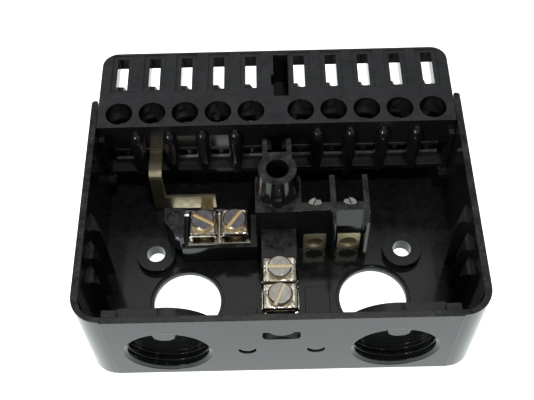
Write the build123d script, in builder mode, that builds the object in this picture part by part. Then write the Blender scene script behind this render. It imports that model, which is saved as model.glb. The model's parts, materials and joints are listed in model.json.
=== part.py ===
from build123d import *
import os

# Plug-in wiring sub-base: a moulded tray, a row of ten plug-in terminals along its rear,
# a neutral bar, an earth bar and two auxiliary cage terminals.
# Millimetres. X runs to the right, Y from front to rear, Z up from the surface it stands on.
# The origin is at the centre of the underside of the whole part's box.

# ---- overall size
overall_width = 91.0
overall_depth = 75.6
rim_height = 28.4

# ---- moulded tray
tray_depth = 60.4
tray_corner = 6.5
wall = 1.6
front_wall = 1.5
floor_top = 2.0
face_step = 0.3
face_half_width = 38.9
rear_wall_top = 9.9

# ---- cable entries: M20 x 1.5 conduit thread, moulded shut at the inner end
entry_x = 25.7
entry_z = 12.3
entry_major = 20.0
entry_minor = 18.4
entry_pitch = 1.5
entry_threads = 3
entry_boss = 23.6
entry_depth = 4.6
entry_boss_depth = 5.6

# ---- grooves and slot in the front wall
groove_x = 7.75
groove_depth = 1.1
slot_half_width = 4.2
slot_bottom = 18.4
slot_top = 22.1
slot_dip = 20.4

# ---- floor: cable holes and fixing holes
cable_hole_x = 22.9
cable_hole_y = 17.9
cable_hole = 16.5
cable_step = 18.2
fixing_x = 31.0
fixing_y = 30.35
fixing_hole = 4.6
fixing_boss = 9.8
fixing_boss_top = 4.0
rear_opening_x = (-27.5, -12.0)
rear_opening_y = (40.1, 44.4)

# ---- terminal row
pole_pitch = 8.1
first_pole = 6.1
poles_per_side = 5
well_y = 56.2
well_diameter = 6.6
block_half_width = 43.75
block_front = 52.0
block_rear_wall = 60.4
shelf_thickness = 4.0
entry_top = 18.9
block_bottom = 9.9
entry_floor = 11.4
rib_front = 50.5
rib_width = 2.0
peg_diameter = 3.4
peg_shoulder = 23.6
peg_tip_diameter = 1.0
peg_tip_height = 2.6
comb_rear = 68.9
head_lean = 0.5
blade_slot_width = 2.75
blade_slot = (63.7, 74.0)

# ---- terminal hardware, 3.5 mm screws
screw_major = 3.5
screw_minor = 3.0
screw_pitch = 0.6
screw_head = 5.6
screw_head_height = 2.5
tapped_hole = 3.6
contact_thickness = 1.0
contact_width = 4.6
fork_y = 67.65
fork_offset = 0.9
fork_width = 5.0
fork_top = 24.2
clamp_height = 2.1
strap_thickness = 0.8
strap_width = 3.2
strap_ring_width = 5.2

# ---- neutral and earth bars
bar_thickness = 1.2
saddle_height = 3.3
bar_screw_head = 5.9
bar_screw_head_height = 1.5
neutral_seat = 8.9
neutral_screw_x = (-18.5, -10.7)
neutral_y = 33.7
pedestal_rear = 38.3
earth_seat = 9.0
earth_screw_y = (13.1, 20.2)

# ---- auxiliary cage terminals, 3 mm screws
cage_x = (9.05, 17.55)
cage_front = 32.0
cage_width = 5.7
cage_length = 6.2
cage_top = 9.3
cage_hole = 4.6
cage_hole_z = 4.95
aux_screw_y = 36.0
aux_screw_major = 3.0
aux_screw_head = 4.0
aux_well = 4.6
aux_block_top = 20.0
aux_plate_rear = 34.6
aux_lip = 13.4
aux_left = 5.6
aux_wall_x = (13.3, 21.3)

# ---- tower for the fixing screw of the plugged-in unit
tower_y = 38.8
tower_top_diameter = 9.1
tower_foot_diameter = 10.6
tower_hole = 5.4

contact_z = entry_top - contact_thickness
block_rib_x = [first_pole + pole_pitch * (step + 0.5) for step in range(poles_per_side - 1)]


def depth(distance):
    """Y of a point that lies this far behind the front face."""
    return distance - overall_depth / 2


def pole_x(number):
    """X of terminal 1 to 10, counted from the left."""
    if number <= poles_per_side:
        return -first_pole - pole_pitch * (poles_per_side - number)
    return first_pole + pole_pitch * (number - poles_per_side - 1)


def add_box(x_range, y_range, z_range, mode=Mode.ADD):
    """Box between limits, its Y limits counted from the front face."""
    size_x = x_range[1] - x_range[0]
    size_y = y_range[1] - y_range[0]
    size_z = z_range[1] - z_range[0]
    middle_y = depth((y_range[0] + y_range[1]) / 2)
    with Locations(((x_range[0] + x_range[1]) / 2, middle_y, (z_range[0] + z_range[1]) / 2)):
        Box(size_x, size_y, size_z, mode=mode)


def add_post(x, y, z_range, diameter, mode=Mode.ADD):
    """Upright cylinder between two heights, its Y counted from the front face."""
    with Locations((x, depth(y), (z_range[0] + z_range[1]) / 2)):
        Cylinder(diameter / 2, z_range[1] - z_range[0], mode=mode)


def add_pin(x, z, y_range, diameter, mode=Mode.ADD):
    """Cylinder along Y between two distances from the front face."""
    with Locations((x, depth((y_range[0] + y_range[1]) / 2), z)):
        Cylinder(diameter / 2, y_range[1] - y_range[0], rotation=(90, 0, 0), mode=mode)


def finish(piece, name):
    """Label a finished piece and write it."""
    piece.label = name
    export_step(piece, f"parts/{name}.step")


# ---------------------------------------------------------------------------
# Tray
# ---------------------------------------------------------------------------
def make_base_tray():
    inner_x = overall_width / 2 - wall
    with BuildPart() as tray:
        # Outer shell with round front corners, and the flat front face standing proud.
        with BuildSketch(Plane.XY):
            with Locations((0, depth((face_step + tray_depth) / 2))):
                Rectangle(overall_width, tray_depth - face_step)
            fillet(vertices().group_by(Axis.Y)[0], radius=tray_corner)
            fillet(vertices().group_by(Axis.Y)[-1], radius=0.75)
        extrude(amount=rim_height)
        add_box((-face_half_width, face_half_width), (0, face_step + 0.5), (0.6, rim_height))
        # Cavity down to the floor.
        with BuildSketch(Plane.XY.offset(floor_top)):
            with Locations((0, depth((front_wall + tray_depth - wall) / 2))):
                Rectangle(2 * inner_x, tray_depth - wall - front_wall)
            fillet(vertices().group_by(Axis.Y)[0], radius=tray_corner - wall)
        extrude(amount=rim_height, mode=Mode.SUBTRACT)
        # The rear wall is low, because the terminal block stands on it.
        rear_gap = (tray_depth - wall - 0.5, tray_depth + 1)
        add_box((-inner_x, inner_x), rear_gap, (rear_wall_top, rim_height + 1), Mode.SUBTRACT)
        fillet(tray.edges().filter_by(Axis.Z).group_by(Axis.Y)[-1], radius=0.6)

        # Corner lugs and the two shelves under the ends of the terminal block.
        for side in (-1, 1):
            lug_x = sorted((side * 35.7, side * 39.0))
            add_box(lug_x, (front_wall - 0.2, 4.3), (floor_top, 26.0))
            shelf_x = sorted((side * (inner_x - 2.4), side * (inner_x + 0.2)))
            add_box(shelf_x, (48.5, tray_depth - wall + 0.2), (rear_wall_top - 1.6, rear_wall_top))

        # Saw-tooth ribs inside both side walls.
        rib_heights = ((15.2, 19.0), (20.2, 21.5), (26.3, 24.0))
        for side in (-1, 1):
            for rib_y, rib_top in rib_heights:
                with BuildSketch(Plane.XY.offset(floor_top)):
                    with BuildLine():
                        Polyline(
                            (side * (inner_x + 0.2), depth(rib_y - 0.6)),
                            (side * (inner_x - 2.6), depth(rib_y)),
                            (side * (inner_x - 2.2), depth(rib_y + 0.9)),
                            (side * (inner_x + 0.2), depth(rib_y + 4.6)),
                            close=True,
                        )
                    make_face()
                extrude(amount=rib_top - floor_top)
                with BuildSketch(Plane.XZ.offset(-depth(rib_y - 2))):
                    with BuildLine():
                        Polyline(
                            (side * (inner_x - 3.2), rib_top - 2.5),
                            (side * (inner_x - 3.2), rib_top + 1.0),
                            (side * inner_x, rib_top + 1.0),
                            close=True,
                        )
                    make_face()
                extrude(amount=-8.0, mode=Mode.SUBTRACT)

        # Earth ridge with its bar seat, and the neutral pedestal with its blind third seat.
        add_box((-4.3, 4.3), (9.6, 32.5), (floor_top - 0.5, 12.0))
        add_box((-6.0, 6.0), (5.0, 23.9), (earth_seat, 13.0), Mode.SUBTRACT)
        add_box((-24.0, -5.2), (28.9, pedestal_rear), (floor_top - 0.5, neutral_seat))
        with BuildSketch(Plane.XY.offset(floor_top - 0.5)):
            with BuildLine():
                Polyline(
                    (-28.2, depth(pedestal_rear)),
                    (-28.2, depth(34.6)),
                    (-25.6, depth(31.0)),
                    (-24.3, depth(29.6)),
                    (-23.2, depth(29.6)),
                    (-23.2, depth(pedestal_rear)),
                    close=True,
                )
            make_face()
        extrude(amount=13.0 - floor_top + 0.5)
        add_post(-25.6, 35.3, (12.5, 14.0), 4.0, Mode.SUBTRACT)
        tail_half = strap_ring_width / 2 + 0.1
        tail_x = (neutral_screw_x[0] - tail_half, neutral_screw_x[0] + tail_half)
        tail_z = (neutral_seat - strap_thickness - 0.02, neutral_seat + 1)
        add_box(tail_x, (30.9, 39.0), tail_z, Mode.SUBTRACT)
        for screw_x in neutral_screw_x:
            add_post(screw_x, neutral_y, (3.0, neutral_seat + 1), 4.4, Mode.SUBTRACT)
        for screw_y in earth_screw_y:
            add_post(0, screw_y, (3.0, earth_seat + 1), 4.4, Mode.SUBTRACT)

        # Foot of the tower, and the auxiliary terminals' housing: a low block, a front plate
        # that leans back above a lip, and upright partitions, thinner in front of the plate.
        add_box((-5.5, aux_left), (cage_front, 41.6), (floor_top - 0.5, aux_block_top))
        housing_x = (aux_left - 0.5, aux_wall_x[1])
        add_box(housing_x, (cage_front, 39.6), (floor_top - 0.5, cage_top + 1.0))
        with BuildSketch(Plane.YZ.offset(-5.5)):
            with BuildLine():
                Polyline(
                    (depth(cage_front), cage_top - 1),
                    (depth(cage_front), aux_lip),
                    (depth(cage_front - 0.3), aux_lip),
                    (depth(cage_front + 0.2), aux_block_top),
                    (depth(aux_plate_rear), aux_block_top),
                    (depth(aux_plate_rear), cage_top - 1),
                    close=True,
                )
            make_face()
        extrude(amount=aux_wall_x[1] + 5.5)
        for wall_x in aux_wall_x:
            wall_z = (floor_top - 0.5, aux_block_top)
            add_box((wall_x - 0.7, wall_x + 0.7), (cage_front - 0.3, 42.4), wall_z)
            add_box((wall_x - 0.4, wall_x + 0.4), (28.5, cage_front), wall_z)
        for terminal_x in cage_x:
            half = cage_width / 2 + 0.05
            pocket_y = (cage_front - 1.0, cage_front + cage_length + 0.05)
            add_box((terminal_x - half, terminal_x + half), pocket_y, (floor_top, cage_top + 0.05),
                    Mode.SUBTRACT)
            add_post(terminal_x, aux_screw_y, (cage_top - 1, aux_block_top + 1), aux_well,
                     Mode.SUBTRACT)

        # Floor: an opening behind the pedestal, cable holes with a stepped edge, and fixing
        # holes in low round bosses.
        add_box(rear_opening_x, rear_opening_y, (-1, floor_top + 0.5), Mode.SUBTRACT)
        for side in (-1, 1):
            add_post(side * cable_hole_x, cable_hole_y, (floor_top - 0.6, floor_top + 0.2),
                     cable_step, Mode.SUBTRACT)
            add_post(side * cable_hole_x, cable_hole_y, (-1, floor_top + 1), cable_hole,
                     Mode.SUBTRACT)
            add_post(side * fixing_x, fixing_y, (floor_top - 0.5, fixing_boss_top), fixing_boss)
            add_post(side * fixing_x, fixing_y, (-1, fixing_boss_top + 1), fixing_hole,
                     Mode.SUBTRACT)

        # Cable entries: round boss inside, its top carried level to the corner lug.
        for side in (-1, 1):
            x = side * entry_x
            add_pin(x, entry_z, (front_wall - 0.3, entry_boss_depth), entry_boss)
            shoulder_x = sorted((x, side * 36.0))
            add_box(shoulder_x, (front_wall - 0.2, entry_boss_depth),
                    (floor_top - 0.5, entry_z + entry_boss / 2 - 0.1))
        add_box((-overall_width / 2, overall_width / 2), (-1, 8), (-3, 0), Mode.SUBTRACT)

        # Threaded hole from the front, its inner end left closed as a knock-out membrane.
        root = entry_minor / 2
        crest = entry_major / 2
        half_crest = entry_pitch / 16
        half_root = entry_pitch / 8
        for side in (-1, 1):
            x = side * entry_x
            profile = Plane(origin=(x, depth(0), entry_z), x_dir=(1, 0, 0), z_dir=(0, 0, 1))
            outline = [(0, -0.5), (crest, -0.5), (crest, half_crest)]
            for turn in range(entry_threads):
                start = turn * entry_pitch
                outline.append((root, start + entry_pitch / 2 - half_root))
                outline.append((root, start + entry_pitch / 2 + half_root))
                if turn < entry_threads - 1:
                    outline.append((crest, start + entry_pitch - half_crest))
                    outline.append((crest, start + entry_pitch + half_crest))
            outline.append((root, entry_depth))
            outline.append((0, entry_depth))
            with BuildSketch(profile):
                with BuildLine():
                    Polyline(*outline, close=True)
                make_face()
            revolve(axis=Axis((x, depth(0), entry_z), (0, 1, 0)), mode=Mode.SUBTRACT)

        # Slot with a dipped upper edge, and a crescent groove either side of it.
        with BuildSketch(Plane.XZ.offset(-depth(-0.5))):
            with BuildLine():
                Polyline(
                    (-2.7, slot_top),
                    (-slot_half_width, slot_top),
                    (-slot_half_width, slot_bottom),
                    (slot_half_width, slot_bottom),
                    (slot_half_width, slot_top),
                    (2.7, slot_top),
                )
                ThreePointArc((2.7, slot_top), (0, slot_dip), (-2.7, slot_top))
            make_face()
            fillet(vertices().group_by(Axis.Y)[0], radius=1.3)
        extrude(amount=-4, mode=Mode.SUBTRACT)
        for side in (-1, 1):
            x = side * groove_x
            with BuildSketch(Plane.XZ.offset(-depth(0))):
                with BuildLine():
                    ThreePointArc((x - 2.05, 13.1), (x, 10.8), (x + 2.05, 13.1))
                    Line((x + 2.05, 13.1), (x + 1.7, 13.6))
                    ThreePointArc((x + 1.7, 13.6), (x, 12.3), (x - 1.7, 13.6))
                    Line((x - 1.7, 13.6), (x - 2.05, 13.1))
                make_face()
            extrude(amount=-groove_depth, mode=Mode.SUBTRACT)

        # Tower: drafted round shaft with side fins, a rear web and a blind hole.
        with BuildSketch(Plane.XY.offset(aux_block_top - 0.5)):
            with Locations((0, depth(tower_y))):
                Circle(tower_foot_diameter / 2)
        with BuildSketch(Plane.XY.offset(rim_height)):
            with Locations((0, depth(tower_y))):
                Circle(tower_top_diameter / 2)
        loft()
        add_box((-5.3, 5.3), (tower_y - 0.8, tower_y + 0.8), (aux_block_top - 0.5, 24.0))
        add_box((-0.8, 0.8), (33.0, tower_y), (aux_block_top - 0.5, 23.0))
        add_box((-3.5, 3.5), (tower_y, 43.6), (aux_block_top - 0.5, rim_height))
        add_box((-3.5, 3.5), (41.0, 43.6), (floor_top - 0.5, aux_block_top))
        for side in (-1, 1):
            fin_x = sorted((side * 2.3, side * 3.5))
            add_box(fin_x, (43.0, 50.3), (floor_top - 0.5, 24.6))
            add_box(fin_x, (43.0, 46.2), (24.0, rim_height - 0.6))
        add_post(0, tower_y, (8.0, rim_height + 1), tower_hole, Mode.SUBTRACT)

        # Small moulding marks on the floor.
        add_post(-6.9, 14.5, (floor_top - 0.1, floor_top + 0.35), 2.5)
        add_box((6.2, 12.2), (8.6, 21.0), (floor_top - 0.1, floor_top + 0.3))
    finish(tray.part, "base_tray")


# ---------------------------------------------------------------------------
# Terminal block
# ---------------------------------------------------------------------------
def make_terminal_block():
    shelf_bottom = rim_height - shelf_thickness
    with BuildPart() as block:
        # Shelf plate with round rear corners, and the solid head that holds the wells.
        with BuildSketch(Plane.XY.offset(shelf_bottom)):
            with Locations((0, depth((block_front + overall_depth) / 2))):
                Rectangle(2 * block_half_width, overall_depth - block_front)
            fillet(vertices().group_by(Axis.Y)[-1], radius=4.0)
        extrude(amount=shelf_thickness)
        full_width = (-block_half_width, block_half_width)
        with BuildSketch(Plane.YZ.offset(-block_half_width)):
            with BuildLine():
                Polyline(
                    (depth(block_front), rim_height - 0.5),
                    (depth(block_front), shelf_bottom),
                    (depth(block_front + head_lean), entry_top),
                    (depth(block_rear_wall), entry_top),
                    (depth(block_rear_wall), rim_height - 0.5),
                    close=True,
                )
            make_face()
        extrude(amount=2 * block_half_width)
        # Rear wall and floor of the wire entries.
        add_box(full_width, (block_rear_wall - 1.2, block_rear_wall), (block_bottom, entry_top))
        add_box(full_width, (rib_front + 0.4, comb_rear), (block_bottom, entry_floor))

        # Ribs between poles: partition, pointed peg in front and thin comb behind.
        for side in (-1, 1):
            for x in block_rib_x:
                rib = (side * x - rib_width / 2, side * x + rib_width / 2)
                add_box(rib, (rib_front, block_rear_wall), (block_bottom, entry_top + 0.2))
                add_box(rib, (rib_front, block_front + 0.2), (entry_top, 24.6))
                add_post(side * x, block_front - 0.3, (entry_top - 4.0, peg_shoulder),
                         peg_diameter)
                with Locations((side * x, depth(block_front - 0.3), peg_shoulder)):
                    Cone(peg_diameter / 2, peg_tip_diameter / 2, peg_tip_height,
                         align=(Align.CENTER, Align.CENTER, Align.MIN))
                comb = (side * x - 0.6, side * x + 0.6)
                add_box(comb, (block_rear_wall - 0.2, comb_rear), (block_bottom, shelf_bottom + 0.2))
            # End cheeks, which lean outwards towards the front.
            cheek = sorted((side * (block_half_width - 1.4), side * block_half_width))
            add_box(cheek, (rib_front, comb_rear), (block_bottom, shelf_bottom + 0.2))
            # Centre cheeks either side of the keying pocket.
            centre = sorted((side * 1.3, side * 2.5))
            add_box(centre, (rib_front + 0.6, block_rear_wall), (block_bottom, entry_top + 0.2))

        # Keying pocket between terminals 5 and 6, closed underneath.
        add_box((-1.8, 3.75), (block_rear_wall - 0.2, 75.2), (16.0, shelf_bottom + 0.2))
        add_box((-0.4, 3.3), (60.7, 74.0), (17.6, rim_height + 1), Mode.SUBTRACT)
        add_box((-1.0, 0), (64.2, 67.5), (22.0, rim_height + 1), Mode.SUBTRACT)

        for number in range(1, 2 * poles_per_side + 1):
            x = pole_x(number)
            # Screw well.
            add_post(x, well_y, (entry_top - 1, rim_height + 1), well_diameter, Mode.SUBTRACT)
            # Slot in the rear wall for the contact.
            slot_x = (x - contact_width / 2 - 0.05, x + contact_width / 2 + 0.05)
            add_box(slot_x, (block_rear_wall - 2, block_rear_wall + 1),
                    (contact_z - 0.05, entry_top), Mode.SUBTRACT)
            # Hole in the entry floor for the end of the screw.
            add_post(x, well_y, (block_bottom - 1, entry_floor + 1), tapped_hole + 0.4,
                     Mode.SUBTRACT)
            # Blade slot, inside a shallow sunk panel.
            add_box((x - 2.7, x + 2.7), (62.9, 75.0), (rim_height - 0.3, rim_height + 1),
                    Mode.SUBTRACT)
            blade_x = (x - blade_slot_width / 2, x + blade_slot_width / 2)
            add_box(blade_x, blade_slot, (shelf_bottom - 1, rim_height + 1), Mode.SUBTRACT)
    finish(block.part, "terminal_block")


# ---------------------------------------------------------------------------
# Screws
# ---------------------------------------------------------------------------
def make_slotted_screw(name, x, y, head_under, head_diameter, head_height, major, minor, pitch,
                       tip_z, slot_angle, plain_length, slot_depth=1.1):
    """Cheese-head screw standing at (x, y): head above head_under, shank down to tip_z."""
    profile = Plane(origin=(x, depth(y), 0), x_dir=(1, 0, 0), z_dir=(0, -1, 0))
    head_top = head_under + head_height
    crest = major / 2
    root = minor / 2
    with BuildPart() as screw:
        with BuildSketch(profile):
            with BuildLine():
                outline = [(0, head_top), (head_diameter / 2 - 0.35, head_top)]
                outline.append((head_diameter / 2, head_top - 0.35))
                outline.append((head_diameter / 2, head_under))
                outline.append((crest, head_under))
                level = head_under - plain_length
                outline.append((crest, level))
                while level - pitch > tip_z + 0.4:
                    outline.append((root, level - pitch / 2))
                    outline.append((crest, level - pitch))
                    level -= pitch
                outline.append((root, level - pitch / 2))
                outline.append((root - 0.2, tip_z))
                outline.append((0, tip_z))
                Polyline(*outline, close=True)
            make_face()
        revolve(axis=Axis((x, depth(y), 0), (0, 0, 1)))
        slot_plane = Plane.XY.offset(head_top - slot_depth)
        with BuildSketch(slot_plane):
            with Locations((x, depth(y))):
                Rectangle(head_diameter + 2, 0.9, rotation=slot_angle)
        extrude(amount=3, mode=Mode.SUBTRACT)
    finish(screw.part, name)


# ---------------------------------------------------------------------------
# Plug-in terminals 1 to 10
# ---------------------------------------------------------------------------
def make_contact(number):
    """Bent strip: flat under the screw head, turned up at the rear into a fork for a blade."""
    x = pole_x(number)
    fork_x = x + fork_offset
    with BuildPart() as contact:
        add_box((x - contact_width / 2, x + contact_width / 2),
                (block_front + head_lean - 0.1, fork_y), (contact_z, entry_top))
        add_box((fork_x - fork_width / 2, fork_x + fork_width / 2), (fork_y - 0.5, fork_y + 0.5),
                (contact_z, fork_top))
        with BuildSketch(Plane.XZ.offset(-depth(fork_y - 2))):
            with BuildLine():
                Polyline(
                    (fork_x - 1.5, fork_top + 0.5),
                    (fork_x - 0.4, fork_top - 1.7),
                    (fork_x - 0.4, fork_top - 4.6),
                    (fork_x + 0.4, fork_top - 4.6),
                    (fork_x + 0.4, fork_top - 1.7),
                    (fork_x + 1.5, fork_top + 0.5),
                    close=True,
                )
            make_face()
        extrude(amount=-4, mode=Mode.SUBTRACT)
        add_post(x, well_y, (contact_z - 1, entry_top + 1), tapped_hole, Mode.SUBTRACT)
    finish(contact.part, f"contact_{number}")


def make_wire_clamp(number):
    """Square tapped clamp that climbs the screw: low when open, high under the link strap."""
    x = pole_x(number)
    low = entry_floor + 0.1
    if number == 2:
        low = contact_z - strap_thickness - clamp_height - 0.05
    with BuildPart() as clamp:
        add_box((x - 2.8, x + 2.8), (well_y - 2.7, well_y + 2.7), (low, low + clamp_height))
        chamfer(clamp.edges().filter_by(Axis.X).group_by(Axis.Z)[-1], length=0.5)
        add_post(x, well_y, (low - 1, low + clamp_height + 1), tapped_hole, Mode.SUBTRACT)
    finish(clamp.part, f"wire_clamp_{number}")


def make_terminal(number):
    make_contact(number)
    make_wire_clamp(number)
    slot_angle = (25, 80, 55, 100, 70, 110, 40, 15, 60, 90)[number - 1]
    make_slotted_screw(f"terminal_screw_{number}", pole_x(number), well_y, entry_top + 0.03,
                       screw_head, screw_head_height, screw_major, screw_minor, screw_pitch,
                       block_bottom + 0.3, slot_angle, contact_thickness + 0.2)


# ---------------------------------------------------------------------------
# Neutral bar, its link to terminal 2, and the earth bar
# ---------------------------------------------------------------------------
def make_neutral_link_strap():
    """Strap from the clamp of terminal 2, down behind the neutral bar and under it."""
    x = pole_x(2)
    half = strap_width / 2
    top = contact_z - 0.02
    bend_y = 45.4
    foot = 2.75
    with BuildPart() as strap:
        with BuildSketch(Plane.YZ.offset(x - half)):
            with BuildLine():
                FilletPolyline(
                    (depth(59.0), top - strap_thickness / 2),
                    (depth(bend_y - strap_thickness / 2), top - strap_thickness / 2),
                    (depth(bend_y - strap_thickness / 2), foot),
                    radius=1.3,
                )
                offset(amount=strap_thickness / 2, side=Side.BOTH)
            make_face()
        extrude(amount=strap_width)
        arm_y = (bend_y - strap_thickness, bend_y)
        add_box((x - half, -16.0), arm_y, (foot, 8.1))
        # Tail: forward along the floor, up behind the pedestal and forward under the bar.
        tail_x = (neutral_screw_x[0] - half, neutral_screw_x[0] + half)
        riser_y = (pedestal_rear + 0.05, pedestal_rear + 0.05 + strap_thickness)
        tail_top = neutral_seat - 0.02
        add_box(tail_x, (riser_y[0], arm_y[1]), (foot, foot + strap_thickness))
        add_box(tail_x, riser_y, (foot, tail_top))
        ring_x = (neutral_screw_x[0] - strap_ring_width / 2, neutral_screw_x[0] + strap_ring_width / 2)
        add_box(ring_x, (31.0, riser_y[1]), (tail_top - strap_thickness, tail_top))
        add_post(neutral_screw_x[0], neutral_y, (neutral_seat - 3, neutral_seat + 1), 4.0,
                 Mode.SUBTRACT)
        add_post(x, well_y, (top - 3, top + 1), tapped_hole, Mode.SUBTRACT)
        add_box((x - tapped_hole / 2, x + tapped_hole / 2), (well_y, well_y + 4),
                (top - 3, top + 1), Mode.SUBTRACT)
    finish(strap.part, "neutral_link_strap")


def make_bar(name, x_range, y_range, seat, screw_places):
    """Flat tapped bar lying on its seat."""
    with BuildPart() as bar:
        add_box(x_range, y_range, (seat, seat + bar_thickness))
        chamfer(bar.edges().group_by(Axis.Z)[-1], length=0.2)
        for screw_x, screw_y in screw_places:
            add_post(screw_x, screw_y, (seat - 1, seat + bar_thickness + 1), tapped_hole,
                     Mode.SUBTRACT)
    finish(bar.part, name)


def make_saddle(name, x, y, seat, size_x, size_y):
    """Wire clamp under a screw head: a plate whose two sides are turned down to the bar."""
    bottom = seat + bar_thickness + 0.02
    top = bottom + saddle_height
    with BuildPart() as saddle:
        add_box((x - size_x / 2, x + size_x / 2), (y - size_y / 2, y + size_y / 2), (bottom, top))
        long_edges = saddle.edges().filter_by(Axis.Y).group_by(Axis.Z)[-1]
        fillet(long_edges, radius=1.2)
        fillet(saddle.edges().filter_by(Axis.X).group_by(Axis.Z)[-1], radius=0.5)
        add_box((x - size_x / 2 + 1.0, x + size_x / 2 - 1.0), (y - size_y, y + size_y),
                (bottom - 1, top - 1.0), Mode.SUBTRACT)
        add_post(x, y, (bottom - 1, top + 1), tapped_hole, Mode.SUBTRACT)
    finish(saddle.part, name)


def make_bar_screw(name, x, y, seat, slot_angle):
    head_under = seat + bar_thickness + saddle_height + 0.04
    make_slotted_screw(name, x, y, head_under, bar_screw_head, bar_screw_head_height,
                       screw_major, screw_minor, screw_pitch, seat - 5.0, slot_angle, 0.3, 0.9)


def make_neutral_terminals():
    places = [(screw_x, neutral_y) for screw_x in neutral_screw_x]
    make_bar("neutral_bar", (-22.4, -6.9), (29.4, 38.0), neutral_seat, places)
    for index, slot_angle in ((0, -30), (1, 55)):
        screw_x = neutral_screw_x[index]
        make_saddle(f"neutral_clamp_{index + 1}", screw_x, neutral_y, neutral_seat, 7.4, 7.4)
        make_bar_screw(f"neutral_screw_{index + 1}", screw_x, neutral_y, neutral_seat, slot_angle)


def make_earth_terminals():
    places = [(0, screw_y) for screw_y in earth_screw_y]
    make_bar("earth_bar", (-4.5, 4.5), (9.0, 23.8), earth_seat, places)
    for index, slot_angle in ((0, 66), (1, 0)):
        screw_y = earth_screw_y[index]
        make_saddle(f"earth_clamp_{index + 1}", 0, screw_y, earth_seat, 8.7, 6.7)
        make_bar_screw(f"earth_screw_{index + 1}", 0, screw_y, earth_seat, slot_angle)


# ---------------------------------------------------------------------------
# Auxiliary cage terminals
# ---------------------------------------------------------------------------
def make_aux_terminal(number):
    """Cage with a round wire hole, a pressure pad inside it and the screw that drives the pad."""
    x = cage_x[number - 1]
    half = cage_width / 2
    with BuildPart() as cage:
        add_box((x - half, x + half), (cage_front, cage_front + cage_length),
                (floor_top + 0.02, cage_top))
        fillet(cage.edges().filter_by(Axis.Y).group_by(Axis.Z)[-1], radius=0.5)
        add_pin(x, cage_hole_z, (cage_front - 1, cage_front + cage_length + 1), cage_hole,
                Mode.SUBTRACT)
        add_post(x, aux_screw_y, (cage_hole_z, cage_top + 1), aux_screw_major + 0.1,
                 Mode.SUBTRACT)
    finish(cage.part, f"aux_cage_{number}")

    pad_bottom = cage_hole_z + 1.3
    with BuildPart() as pad:
        add_post(x, aux_screw_y, (pad_bottom, pad_bottom + 0.8), 2.6)
        chamfer(pad.edges().group_by(Axis.Z)[0], length=0.2)
    finish(pad.part, f"aux_pressure_pad_{number}")

    tip = pad_bottom + 0.82
    make_slotted_screw(f"aux_screw_{number}", x, aux_screw_y, tip + 8.0, aux_screw_head, 2.0,
                       aux_screw_major, 2.6, 0.5, tip, 20 + 45 * number, 0.5)


os.makedirs("parts", exist_ok=True)
make_base_tray()
make_terminal_block()
for pole in range(1, 2 * poles_per_side + 1):
    make_terminal(pole)
make_neutral_link_strap()
make_neutral_terminals()
make_earth_terminals()
for aux_number in (1, 2):
    make_aux_terminal(aux_number)
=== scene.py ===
import json
import math

import bpy
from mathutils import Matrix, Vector


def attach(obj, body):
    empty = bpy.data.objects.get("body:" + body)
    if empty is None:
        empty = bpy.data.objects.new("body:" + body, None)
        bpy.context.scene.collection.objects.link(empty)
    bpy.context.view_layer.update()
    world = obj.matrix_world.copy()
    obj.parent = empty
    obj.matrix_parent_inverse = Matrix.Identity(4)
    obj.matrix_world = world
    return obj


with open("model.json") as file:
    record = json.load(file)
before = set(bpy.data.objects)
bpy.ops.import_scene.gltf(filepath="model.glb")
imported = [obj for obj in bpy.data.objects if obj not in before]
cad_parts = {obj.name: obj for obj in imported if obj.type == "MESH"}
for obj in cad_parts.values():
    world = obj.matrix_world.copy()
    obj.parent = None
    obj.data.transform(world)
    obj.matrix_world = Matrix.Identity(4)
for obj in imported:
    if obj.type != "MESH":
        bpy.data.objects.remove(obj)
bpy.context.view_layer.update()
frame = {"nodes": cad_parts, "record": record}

nodes = frame["nodes"]
MM = 0.001

# Camera: place in millimetres, turn in degrees.
CAMERA_PLACE = (-1.29, -118.08, 201.49)
CAMERA_TURN = (32.524, 1.009, -0.909)
CAMERA_LENS = 60.34
CAMERA_SENSOR = 36.0
CAMERA_NEAR = 0.01

# Studio, in metres.
FLOOR_SIZE = 6.0
FLOOR_GAP = 0.0002
LIGHT_TARGET = (0, 0, 0.02)

# Heights at which the screws' colour changes, in millimetres at rest: just under the terminal
# screws' heads, below which the shank is painted nearly black as painted shade, and between the
# slots and the tops of the bar screws' heads, below which the slot is painted brass as a painted
# reflection.
TERMINAL_PAINTED_SHADE_Z = 18.8
BAR_PAINTED_REFLECTION_Z = 14.7
BLEND_HEIGHT = 0.1

# Break-out tabs in the cable entries, in millimetres.
FRONT_FACE_Y = -37.8
TAB_X = 25.7
TAB_HALF_WIDTH = 2.4
TAB_FOOT_FLARE = 0.3
TAB_ROOT_Z = 22.5
TAB_CORNER_Z = 20.7
TAB_DROP = 1.8
TAB_STEPS = 24
# Each ring of a tab: how far it shrinks from the outline, and its distance behind the front face.
TAB_RINGS = ((0.10, 0.01), (0.03, 0.03), (0.0, 0.10), (0.0, 0.50))

# Heads of the pegs between the terminals, in millimetres.
PEG_X = (10.15, 18.25, 26.35, 34.45)
PEG_Y = 13.9
PEG_RADIUS = 1.74
PEG_FOOT_Z = 23.3
PEG_HEIGHT = 2.95
PEG_AROUND = 32
PEG_LEVELS = 14
# The head's radius follows (1 - share of its height ** PEG_TAPER) ** PEG_BLUNTNESS.
PEG_TAPER = 2.0
PEG_BLUNTNESS = 0.62


# ---------------------------------------------------------------------------
# Camera, floor and light
# ---------------------------------------------------------------------------
def make_camera():
    data = bpy.data.cameras.new("camera")
    camera = bpy.data.objects.new("camera", data)
    bpy.context.collection.objects.link(camera)
    data.lens = CAMERA_LENS
    data.sensor_width = CAMERA_SENSOR
    data.clip_start = CAMERA_NEAR
    camera.location = [value * MM for value in CAMERA_PLACE]
    camera.rotation_euler = [math.radians(angle) for angle in CAMERA_TURN]
    bpy.context.scene.camera = camera


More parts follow.
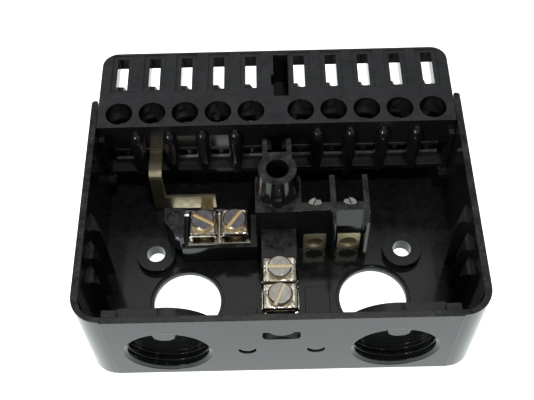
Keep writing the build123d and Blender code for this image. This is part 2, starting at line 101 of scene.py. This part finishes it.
def make_area_light(name, location, size, power):
    data = bpy.data.lights.new(name, "AREA")
    data.shape = "RECTANGLE"
    data.size, data.size_y = size
    data.energy = power
    light = bpy.data.objects.new(name, data)
    bpy.context.collection.objects.link(light)
    light.location = location
    direction = Vector(LIGHT_TARGET) - Vector(location)
    light.rotation_euler = direction.to_track_quat("-Z", "Y").to_euler()


def make_world():
    world = bpy.data.worlds.new("studio")
    bpy.context.scene.world = world
    world.use_nodes = True
    background = world.node_tree.nodes["Background"]
    background.inputs["Color"].default_value = (0.93, 0.97, 1.0, 1)
    background.inputs["Strength"].default_value = 0.32


def pale_paper():
    """White paper that glows a little, so that it stays white under the dim lamps."""
    paper = bpy.data.materials.new("pale_paper")
    paper.use_nodes = True
    shader = paper.node_tree.nodes["Principled BSDF"]
    shader.inputs["Base Color"].default_value = (0.9, 0.9, 0.9, 1)
    shader.inputs["Roughness"].default_value = 0.9
    shader.inputs["Emission Color"].default_value = (0.92, 1.0, 0.99, 1)
    shader.inputs["Emission Strength"].default_value = 1.12
    return paper


def make_floor():
    bpy.ops.mesh.primitive_plane_add(size=FLOOR_SIZE, location=(0, 0, -FLOOR_GAP))
    floor = bpy.context.object
    floor.name = "studio_floor"
    floor.data.materials.append(pale_paper())


def make_lights():
    """A dim soft panel high behind, which the screw heads mirror, and small lamps for glints."""
    make_area_light("rear_panel", (0, 0.22, 0.56), size=(0.30, 0.14), power=0.11)
    make_area_light("overhead_lamp", (0.06, -0.12, 0.55), size=(0.05, 0.03), power=0.7)
    make_area_light("left_window", (-0.30, -0.46, 0.26), size=(0.05, 0.22), power=1.3)
    make_area_light("right_lamp", (0.26, -0.30, 0.36), size=(0.03, 0.03), power=0.06)
    make_area_light("left_lamp", (-0.34, 0.10, 0.40), size=(0.08, 0.08), power=0.25)


def set_view():
    settings = bpy.context.scene.view_settings
    settings.view_transform = "Standard"
    settings.look = "None"


# ---------------------------------------------------------------------------
# Materials
# ---------------------------------------------------------------------------
class Shader:
    """A material's node tree, with short calls for the nodes that the materials share."""

    def __init__(self, name):
        self.material = bpy.data.materials.new(name)
        self.material.use_nodes = True
        self.tree = self.material.node_tree
        self.principled = self.tree.nodes["Principled BSDF"]
        self.position = self.tree.nodes.new("ShaderNodeTexCoord").outputs["Object"]

    def link(self, output, target):
        self.tree.links.new(output, target)

    def noise(self, scale, detail=3.0, roughness=0.55, stretch=(1, 1, 1)):
        """Noise with about scale features in each metre."""
        mapping = self.tree.nodes.new("ShaderNodeMapping")
        mapping.inputs["Scale"].default_value = stretch
        self.link(self.position, mapping.inputs["Vector"])
        node = self.tree.nodes.new("ShaderNodeTexNoise")
        node.inputs["Scale"].default_value = scale
        node.inputs["Detail"].default_value = detail
        node.inputs["Roughness"].default_value = roughness
        self.link(mapping.outputs["Vector"], node.inputs["Vector"])
        return node.outputs["Fac"]

    def remap(self, value, low, high, to_low, to_high):
        node = self.tree.nodes.new("ShaderNodeMapRange")
        node.inputs["From Min"].default_value = low
        node.inputs["From Max"].default_value = high
        node.inputs["To Min"].default_value = to_low
        node.inputs["To Max"].default_value = to_high
        self.link(value, node.inputs["Value"])
        return node.outputs["Result"]

    def math(self, operation, first, second):
        node = self.tree.nodes.new("ShaderNodeMath")
        node.operation = operation
        for socket, value in zip(node.inputs, (first, second)):
            if isinstance(value, (int, float)):
                socket.default_value = value
            else:
                self.link(value, socket)
        return node.outputs["Value"]

    def mix(self, factor, first, second):
        """Colours first to second, each a tuple or another node's output."""
        node = self.tree.nodes.new("ShaderNodeMix")
        node.data_type = "RGBA"
        self.link(factor, node.inputs["Factor"])
        # A Mix node's colour sockets come after its number and vector ones.
        colour_a, colour_b = node.inputs[6], node.inputs[7]
        for socket, value in ((colour_a, first), (colour_b, second)):
            if isinstance(value, tuple):
                socket.default_value = (*value, 1)
            else:
                self.link(value, socket)
        return node.outputs[2]

    def facing_up(self):
        """1 on faces that look straight up, 0 on upright ones."""
        geometry = self.tree.nodes.new("ShaderNodeNewGeometry")
        split = self.tree.nodes.new("ShaderNodeSeparateXYZ")
        self.link(geometry.outputs["Normal"], split.inputs["Vector"])
        return self.remap(split.outputs["Z"], 0.75, 0.98, 0.0, 1.0)

    def height(self):
        """Height above the underside, in metres, with the piece at rest."""
        split = self.tree.nodes.new("ShaderNodeSeparateXYZ")
        self.link(self.position, split.inputs["Vector"])
        return split.outputs["Z"]

    def relief(self, value, strength, distance, edge_radius=0.0):
        bump = self.tree.nodes.new("ShaderNodeBump")
        bump.inputs["Strength"].default_value = strength
        bump.inputs["Distance"].default_value = distance
        self.link(value, bump.inputs["Height"])
        if edge_radius:
            edge = self.tree.nodes.new("ShaderNodeBevel")
            edge.samples = 4
            edge.inputs["Radius"].default_value = edge_radius
            self.link(edge.outputs["Normal"], bump.inputs["Normal"])
        self.link(bump.outputs["Normal"], self.principled.inputs["Normal"])

    def set(self, **values):
        """Sets the shader's sockets to numbers, colours or other nodes' outputs."""
        for name, value in values.items():
            socket = self.principled.inputs[name.replace("_", " ")]
            if isinstance(value, tuple):
                socket.default_value = (*value, 1)
            elif isinstance(value, (int, float)):
                socket.default_value = value
            else:
                self.link(value, socket)


def black_moulding():
    """Glossy black moulding, with a faint flow pattern and a little dust on what faces up."""
    shader = Shader("black_moulding")
    flow = shader.noise(90, 4)
    grain = shader.noise(2600, 2)
    dust = shader.noise(420, 6, 0.7)
    up = shader.facing_up()
    high = shader.remap(shader.height(), 0.003, 0.012, 0.25, 1.0)
    settled = shader.math("MULTIPLY", up, high)
    dusty = shader.math("MULTIPLY", settled, shader.remap(dust, 0.38, 0.72, 0.0, 0.8))
    base = shader.mix(flow, (0.006, 0.0064, 0.0068), (0.010, 0.0107, 0.0112))
    shader.set(Base_Color=shader.mix(dusty, base, (0.062, 0.060, 0.055)))
    polish = shader.remap(flow, 0.3, 0.7, 0.07, 0.13)
    shader.set(Roughness=shader.math("ADD", polish, shader.math("MULTIPLY", dusty, 0.35)))
    shader.set(Metallic=0.0, Specular_IOR_Level=0.37)
    shader.relief(grain, 0.12, 0.00002, 0.00025)
    return shader.material


def block_moulding():
    """The same moulding, dull and scuffed on top where units are plugged in."""
    shader = Shader("block_moulding")
    flow = shader.noise(60, 4)
    dust = shader.noise(260, 8, 0.72)
    scratch = shader.noise(700, 3, 0.6, (0.25, 3.0, 1.0))
    grain = shader.noise(3000, 2)
    up = shader.facing_up()
    worn = shader.math("MULTIPLY", up, shader.remap(dust, 0.30, 0.72, 0.25, 1.0))
    marks = shader.math("MULTIPLY", up, shader.remap(scratch, 0.62, 0.72, 0.0, 0.5))
    base = shader.mix(flow, (0.005, 0.0052, 0.0055), (0.009, 0.0092, 0.0096))
    dusted = shader.mix(worn, base, (0.030, 0.030, 0.032))
    shader.set(Base_Color=shader.mix(marks, dusted, (0.075, 0.072, 0.070)))
    shader.set(Roughness=shader.math("ADD", 0.17, shader.math("MULTIPLY", worn, 0.38)))
    shader.set(Metallic=0.0)
    shader.relief(grain, 0.15, 0.00002, 0.00022)
    return shader.material


def peg_moulding():
    """The block's moulding where it is polished by the mould: clean and glossy."""
    shader = Shader("peg_moulding")
    flow = shader.noise(300, 3)
    base = shader.mix(flow, (0.005, 0.0053, 0.0056), (0.010, 0.0106, 0.011))
    polish = shader.remap(flow, 0.3, 0.7, 0.05, 0.09)
    shader.set(Base_Color=base, Roughness=polish, Metallic=0.0)
    shader.relief(shader.noise(1500, 2), 0.15, 0.00002)
    return shader.material


def metal(name, light, dark, roughness, grain_scale, stretch=(1, 1, 1), waves=0.0):
    """Plated or plain metal with tarnish blotches, fine working marks and pressed waves."""
    shader = Shader(name)
    blotch = shader.noise(550, 5, 0.65)
    grain = shader.noise(grain_scale, 3, 0.6, stretch)
    shader.set(Base_Color=shader.mix(shader.remap(blotch, 0.35, 0.68, 0.0, 1.0), light, dark))
    mixed = shader.math("ADD", shader.math("MULTIPLY", blotch, 0.5),
                        shader.math("MULTIPLY", grain, 0.5))
    shader.set(Roughness=shader.remap(mixed, 0.35, 0.65, *roughness))
    shader.set(Metallic=1.0)
    swell = shader.noise(420, 2, 0.5)
    surface = shader.math("ADD", shader.math("MULTIPLY", grain, 0.12),
                          shader.math("MULTIPLY", swell, waves))
    shader.relief(surface, 0.6, 0.0001, 0.00015)
    return shader.material


def contact_bronze():
    """Dull bronze of the contact strips."""
    return metal("contact_bronze", light=(0.17, 0.155, 0.13), dark=(0.09, 0.08, 0.065),
                 roughness=(0.30, 0.48), grain_scale=3000, stretch=(4, 1, 1))


def clamp_nickel():
    """Bright pressed nickel of the saddles on the earth bar."""
    return metal("clamp_nickel", light=(0.86, 0.80, 0.68), dark=(0.60, 0.53, 0.42),
                 roughness=(0.06, 0.20), grain_scale=2500, waves=5.0)


def screw_steel():
    """Plain steel of the auxiliary screws and their pressure pads."""
    return metal("screw_steel", light=(0.58, 0.54, 0.49), dark=(0.36, 0.33, 0.29),
                 roughness=(0.22, 0.38), grain_scale=4000, stretch=(1, 5, 1))


def strap_brass():
    """Tarnished brass of the link strap."""
    return metal("strap_brass", light=(0.47, 0.41, 0.28), dark=(0.30, 0.25, 0.16),
                 roughness=(0.25, 0.45), grain_scale=3500, stretch=(1, 1, 6))


def plated_bar():
    """Smooth plating of the neutral and earth bars."""
    return metal("plated_bar", light=(0.78, 0.74, 0.64), dark=(0.55, 0.50, 0.40),
                 roughness=(0.12, 0.26), grain_scale=2500)


def darker_nickel():
    """Darker, more wavy nickel of the saddles on the neutral bar."""
    return metal("darker_nickel", light=(0.62, 0.56, 0.47), dark=(0.26, 0.23, 0.19),
                 roughness=(0.07, 0.22), grain_scale=2500, waves=7.0)


def cage_brass():
    """Pale, rough brass of the two cage terminals."""
    return metal("cage_brass", light=(0.96, 0.88, 0.62), dark=(0.82, 0.72, 0.46),
                 roughness=(0.48, 0.62), grain_scale=3000, stretch=(5, 1, 1))


def dark_zinc():
    """Dark zinc of the wire clamps in the row."""
    return metal("dark_zinc", light=(0.16, 0.155, 0.15), dark=(0.08, 0.078, 0.075),
                 roughness=(0.30, 0.48), grain_scale=3000, stretch=(1, 5, 1))


def headed_screw(name, split_z, below, below_roughness, light=(0.62, 0.58, 0.52),
                 dark=(0.40, 0.37, 0.33)):
    """Zinc plated screw, turned above the given height, with another colour below it: painted
    shade on the terminal screws, a painted reflection in the bar screws' slots.
    """
    shader = Shader(name)
    blotch = shader.noise(550, 5, 0.65)
    grain = shader.noise(4000, 3, 0.6, (1, 5, 1))
    head = shader.mix(shader.remap(blotch, 0.35, 0.68, 0.0, 1.0), light, dark)
    below_z = (split_z - BLEND_HEIGHT) * MM
    above_z = (split_z + BLEND_HEIGHT) * MM
    above = shader.remap(shader.height(), below_z, above_z, 0.0, 1.0)
    shader.set(Base_Color=shader.mix(above, below, head))
    turned = shader.math("MULTIPLY", above, shader.remap(grain, 0.35, 0.65, 0.22, 0.38))
    rough = shader.remap(above, 0.0, 1.0, below_roughness, 0.0)
    shader.set(Roughness=shader.math("ADD", turned, rough))
    shader.set(Metallic=1.0)
    shader.relief(grain, 0.25, 0.00003, 0.00012)
    return shader.material


def terminal_screw_steel():
    """Screws in the wells, painted nearly black below the head as painted shade in the wire
    entries.
    """
    return headed_screw("terminal_screw_steel", TERMINAL_PAINTED_SHADE_Z, below=(0.035, 0.034, 0.032),
                        below_roughness=0.4)


def earth_screw_steel():
    """Screws on the earth bar, with a painted reflection: pale brass in the slot."""
    return headed_screw("earth_screw_steel", BAR_PAINTED_REFLECTION_Z, below=(0.98, 0.88, 0.66),
                        below_roughness=0.5)


def neutral_screw_steel():
    """Darker screws on the neutral bar, with a painted reflection: brass in the slot."""
    return headed_screw("neutral_screw_steel", BAR_PAINTED_REFLECTION_Z, below=(0.98, 0.80, 0.48),
                        below_roughness=0.5, light=(0.27, 0.25, 0.25), dark=(0.15, 0.14, 0.14))


def make_materials():
    return {
        "black_moulding": black_moulding(),
        "block_moulding": block_moulding(),
        "contact_bronze": contact_bronze(),
        "clamp_nickel": clamp_nickel(),
        "screw_steel": screw_steel(),
        "strap_brass": strap_brass(),
        "plated_bar": plated_bar(),
        "terminal_screw_steel": terminal_screw_steel(),
        "earth_screw_steel": earth_screw_steel(),
        "neutral_screw_steel": neutral_screw_steel(),
        "darker_nickel": darker_nickel(),
        "cage_brass": cage_brass(),
        "dark_zinc": dark_zinc(),
        "peg_moulding": peg_moulding(),
    }


def dress_nodes(materials):
    """Gives each CAD node its slot's material, or a closer match for some kinds of node."""
    looks = {
        "wire_clamp": "dark_zinc",
        "terminal_screw": "terminal_screw_steel",
        "neutral_screw": "neutral_screw_steel",
        "neutral_clamp": "darker_nickel",
        "earth_screw": "earth_screw_steel",
    }
    for entry in frame["record"]["subparts"]:
        node = nodes[entry["node"]]
        slot = entry["material_slot"]
        for start, other in looks.items():
            if entry["node"].startswith(start):
                slot = other
        node.data.materials.clear()
        node.data.materials.append(materials[slot])


# ---------------------------------------------------------------------------
# Pieces that the CAD model leaves plainer
# ---------------------------------------------------------------------------
def add_mesh(name, vertices, faces, material):
    """Mesh object from points in millimetres."""
    mesh = bpy.data.meshes.new(name)
    mesh.from_pydata([(x * MM, y * MM, z * MM) for x, y, z in vertices], [], faces)
    mesh.materials.append(material)
    piece = bpy.data.objects.new(name, mesh)
    bpy.context.collection.objects.link(piece)
    return piece


def bridge(ring, count):
    """Faces between a ring of count points and the next one."""
    first = ring * count
    return [(first + point, first + (point + 1) % count,
             first + count + (point + 1) % count, first + count + point)
            for point in range(count)]


def make_peg_head(name, x, material):
    """Bullet-shaped head over a peg's tip."""
    vertices = []
    for level in range(PEG_LEVELS):
        share = level / PEG_LEVELS
        radius = PEG_RADIUS * (1 - share ** PEG_TAPER) ** PEG_BLUNTNESS
        for step in range(PEG_AROUND):
            angle = 2 * math.pi * step / PEG_AROUND
            vertices.append((x + radius * math.cos(angle), PEG_Y + radius * math.sin(angle),
                             PEG_FOOT_Z + PEG_HEIGHT * share))
    tip = len(vertices)
    vertices.append((x, PEG_Y, PEG_FOOT_Z + PEG_HEIGHT))
    faces = [tuple(reversed(range(PEG_AROUND)))]
    for level in range(PEG_LEVELS - 1):
        faces += bridge(level, PEG_AROUND)
    last = tip - PEG_AROUND
    for step in range(PEG_AROUND):
        faces.append((last + step, last + (step + 1) % PEG_AROUND, tip))
    head = add_mesh(name, vertices, faces, material)
    head.data.shade_smooth()
    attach(head, "base")


def make_entry_tab(name, x, material):
    """Half-round tab, nearly level with the front face, hanging into the top of an entry."""
    foot = TAB_HALF_WIDTH + TAB_FOOT_FLARE
    outline = [(foot, TAB_ROOT_Z)]
    for step in range(TAB_STEPS + 1):
        angle = math.pi * step / TAB_STEPS
        outline.append((TAB_HALF_WIDTH * math.cos(angle),
                        TAB_CORNER_Z - TAB_DROP * math.sin(angle)))
    outline.append((-foot, TAB_ROOT_Z))
    middle_z = (TAB_ROOT_Z + TAB_CORNER_Z - TAB_DROP) / 2
    vertices = []
    for shrink, behind in TAB_RINGS:
        scale_x = 1 - shrink / TAB_HALF_WIDTH
        scale_z = 1 - shrink / (TAB_ROOT_Z - middle_z)
        for offset_x, z in outline:
            vertices.append((x + offset_x * scale_x, FRONT_FACE_Y + behind,
                             middle_z + (z - middle_z) * scale_z))
    count = len(outline)
    rear = (len(TAB_RINGS) - 1) * count
    faces = [tuple(range(count)), tuple(reversed(range(rear, rear + count)))]
    for ring in range(len(TAB_RINGS) - 1):
        faces += [(a, d, c, b) for a, b, c, d in bridge(ring, count)]
    tab = add_mesh(name, vertices, faces, material)
    tab.data.validate()
    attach(tab, "base")


make_camera()
make_world()
make_floor()
make_lights()
set_view()

materials = make_materials()
dress_nodes(materials)
for number, peg_x in enumerate(PEG_X, 1):
    make_peg_head(f"left_peg_head_{number}", -peg_x, materials["peg_moulding"])
    make_peg_head(f"right_peg_head_{number}", peg_x, materials["peg_moulding"])
make_entry_tab("left_entry_tab", -TAB_X, materials["black_moulding"])
make_entry_tab("right_entry_tab", TAB_X, materials["black_moulding"])
